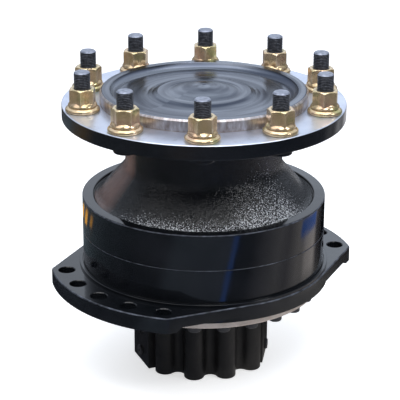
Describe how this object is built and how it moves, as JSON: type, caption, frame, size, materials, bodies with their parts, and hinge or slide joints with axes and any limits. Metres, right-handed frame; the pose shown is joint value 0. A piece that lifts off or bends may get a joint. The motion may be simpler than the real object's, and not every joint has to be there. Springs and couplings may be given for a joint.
{
  "type": "radial piston hydraulic wheel motor",
  "caption": "Radial piston hydraulic motor: studded wheel flange on a flared black bearing housing, cam ring, two-lug chassis flange and lobed rear cover.",
  "frame": {"origin": "centre of the rear cover's end face, on the shaft axis", "axes": "+Z along the shaft axis towards the wheel flange; the chassis lugs lie along +X and -X"},
  "size_m": [0.424, 0.3832, 0.426],
  "materials": {
    "gloss_black_paint": "gloss black enamel over machined and cast iron",
    "cast_black_paint": "satin black paint over sand-cast iron",
    "turned_steel": "bare turned steel with a thin oil film",
    "yellow_zinc": "yellow-passivated zinc plate",
    "phosphate_steel": "dark phosphated threads",
    "black_oxide_steel": "black oxide screws",
    "bearing_steel": "ground bearing steel",
    "pressed_steel": "pressed sheet steel",
    "hardened_steel": "hardened and ground steel",
    "block_iron": "machined ductile iron",
    "bronze_liner": "bronze-faced bearing shell",
    "seal_rubber": "black nitrile rubber",
    "ring_polymer": "filled PTFE"
  },
  "bodies": {
    "housing": {"bearing_housing": "gloss_black_paint", "cam_ring": "gloss_black_paint", "mounting_flange": "gloss_black_paint", "rear_cover": "cast_black_paint", "housing_screws": "black_oxide_steel", "cover_screws": "black_oxide_steel", "front_bearing_cup": "bearing_steel", "rear_bearing_cup": "bearing_steel", "shaft_lip_seal": "seal_rubber", "static_seals": "seal_rubber", "distributor": "hardened_steel", "distributor_spring": "pressed_steel", "distributor_pin": "hardened_steel", "cover_plugs": "black_oxide_steel"},
    "rotor": {"wheel_flange_shaft": "turned_steel", "wheel_studs": "phosphate_steel", "wheel_nuts": "yellow_zinc", "nut_washers": "yellow_zinc", "dust_seal": "seal_rubber", "front_bearing_cone": "bearing_steel", "rear_bearing_cone": "bearing_steel", "bearing_nut": "black_oxide_steel", "nut_lock_washer": "pressed_steel", "cylinder_block": "block_iron"},
    "front_cage": {"front_bearing_rollers": "bearing_steel", "front_bearing_cage": "pressed_steel"},
    "rear_cage": {"rear_bearing_rollers": "bearing_steel", "rear_bearing_cage": "pressed_steel"},
    "piston_1_group": {"piston_1": "hardened_steel", "piston_ring_1": "ring_polymer", "roller_bush_1": "bronze_liner"},
    "roller_1": {"cam_roller_1": "bearing_steel"},
    "piston_2_group": {"piston_2": "hardened_steel", "piston_ring_2": "ring_polymer", "roller_bush_2": "bronze_liner"},
    "roller_2": {"cam_roller_2": "bearing_steel"},
    "piston_3_group": {"piston_3": "hardened_steel", "piston_ring_3": "ring_polymer", "roller_bush_3": "bronze_liner"},
    "roller_3": {"cam_roller_3": "bearing_steel"},
    "piston_4_group": {"piston_4": "hardened_steel", "piston_ring_4": "ring_polymer", "roller_bush_4": "bronze_liner"},
    "roller_4": {"cam_roller_4": "bearing_steel"},
    "piston_5_group": {"piston_5": "hardened_steel", "piston_ring_5": "ring_polymer", "roller_bush_5": "bronze_liner"},
    "roller_5": {"cam_roller_5": "bearing_steel"},
    "piston_6_group": {"piston_6": "hardened_steel", "piston_ring_6": "ring_polymer", "roller_bush_6": "bronze_liner"},
    "roller_6": {"cam_roller_6": "bearing_steel"},
    "piston_7_group": {"piston_7": "hardened_steel", "piston_ring_7": "ring_polymer", "roller_bush_7": "bronze_liner"},
    "roller_7": {"cam_roller_7": "bearing_steel"},
    "piston_8_group": {"piston_8": "hardened_steel", "piston_ring_8": "ring_polymer", "roller_bush_8": "bronze_liner"},
    "roller_8": {"cam_roller_8": "bearing_steel"}
  },
  "joints": [
    {"name": "shaft_spin", "type": "hinge", "parent": "housing", "child": "rotor", "pos_m": [0, 0, 0.32], "axis": [0, 0, 1], "continuous": true},
    {"name": "front_cage_spin", "type": "hinge", "parent": "housing", "child": "front_cage", "pos_m": [0, 0, 0.32], "axis": [0, 0, 1], "continuous": true},
    {"name": "rear_cage_spin", "type": "hinge", "parent": "housing", "child": "rear_cage", "pos_m": [0, 0, 0.226], "axis": [0, 0, 1], "continuous": true},
    {"name": "piston_1_slide", "type": "slide", "parent": "rotor", "child": "piston_1_group", "axis": [1, 0, 0], "range_m": [0, 0.0136]},
    {"name": "roller_1_spin", "type": "hinge", "parent": "piston_1_group", "child": "roller_1", "pos_m": [0.1008, 0, 0.17], "axis": [0, 0, 1], "continuous": true},
    {"name": "piston_2_slide", "type": "slide", "parent": "rotor", "child": "piston_2_group", "axis": [0.7071, 0.7071, 0], "range_m": [0, 0.0025]},
    {"name": "roller_2_spin", "type": "hinge", "parent": "piston_2_group", "child": "roller_2", "pos_m": [0.07128, 0.07128, 0.17], "axis": [0, 0, 1], "continuous": true},
    {"name": "piston_3_slide", "type": "slide", "parent": "rotor", "child": "piston_3_group", "axis": [0, 1, 0], "range_m": [0, 0.0025]},
    {"name": "roller_3_spin", "type": "hinge", "parent": "piston_3_group", "child": "roller_3", "pos_m": [0, 0.1008, 0.17], "axis": [0, 0, 1], "continuous": true},
    {"name": "piston_4_slide", "type": "slide", "parent": "rotor", "child": "piston_4_group", "axis": [-0.7071, 0.7071, 0], "range_m": [0, 0.0136]},
    {"name": "roller_4_spin", "type": "hinge", "parent": "piston_4_group", "child": "roller_4", "pos_m": [-0.07128, 0.07128, 0.17], "axis": [0, 0, 1], "continuous": true},
    {"name": "piston_5_slide", "type": "slide", "parent": "rotor", "child": "piston_5_group", "axis": [-1, 0, 0], "range_m": [0, 0.0136]},
    {"name": "roller_5_spin", "type": "hinge", "parent": "piston_5_group", "child": "roller_5", "pos_m": [-0.1008, 0, 0.17], "axis": [0, 0, 1], "continuous": true},
    {"name": "piston_6_slide", "type": "slide", "parent": "rotor", "child": "piston_6_group", "axis": [-0.7071, -0.7071, 0], "range_m": [0, 0.0025]},
    {"name": "roller_6_spin", "type": "hinge", "parent": "piston_6_group", "child": "roller_6", "pos_m": [-0.07128, -0.07128, 0.17], "axis": [0, 0, 1], "continuous": true},
    {"name": "piston_7_slide", "type": "slide", "parent": "rotor", "child": "piston_7_group", "axis": [0, -1, 0], "range_m": [0, 0.0025]},
    {"name": "roller_7_spin", "type": "hinge", "parent": "piston_7_group", "child": "roller_7", "pos_m": [0, -0.1008, 0.17], "axis": [0, 0, 1], "continuous": true},
    {"name": "piston_8_slide", "type": "slide", "parent": "rotor", "child": "piston_8_group", "axis": [0.7071, -0.7071, 0], "range_m": [0, 0.0136]},
    {"name": "roller_8_spin", "type": "hinge", "parent": "piston_8_group", "child": "roller_8", "pos_m": [0.07128, -0.07128, 0.17], "axis": [0, 0, 1], "continuous": true}
  ],
  "couplings": [
    {"joint": "front_cage_spin", "follows": "shaft_spin", "ratio": 0.4536},
    {"joint": "rear_cage_spin", "follows": "shaft_spin", "ratio": 0.4382}
  ]
}
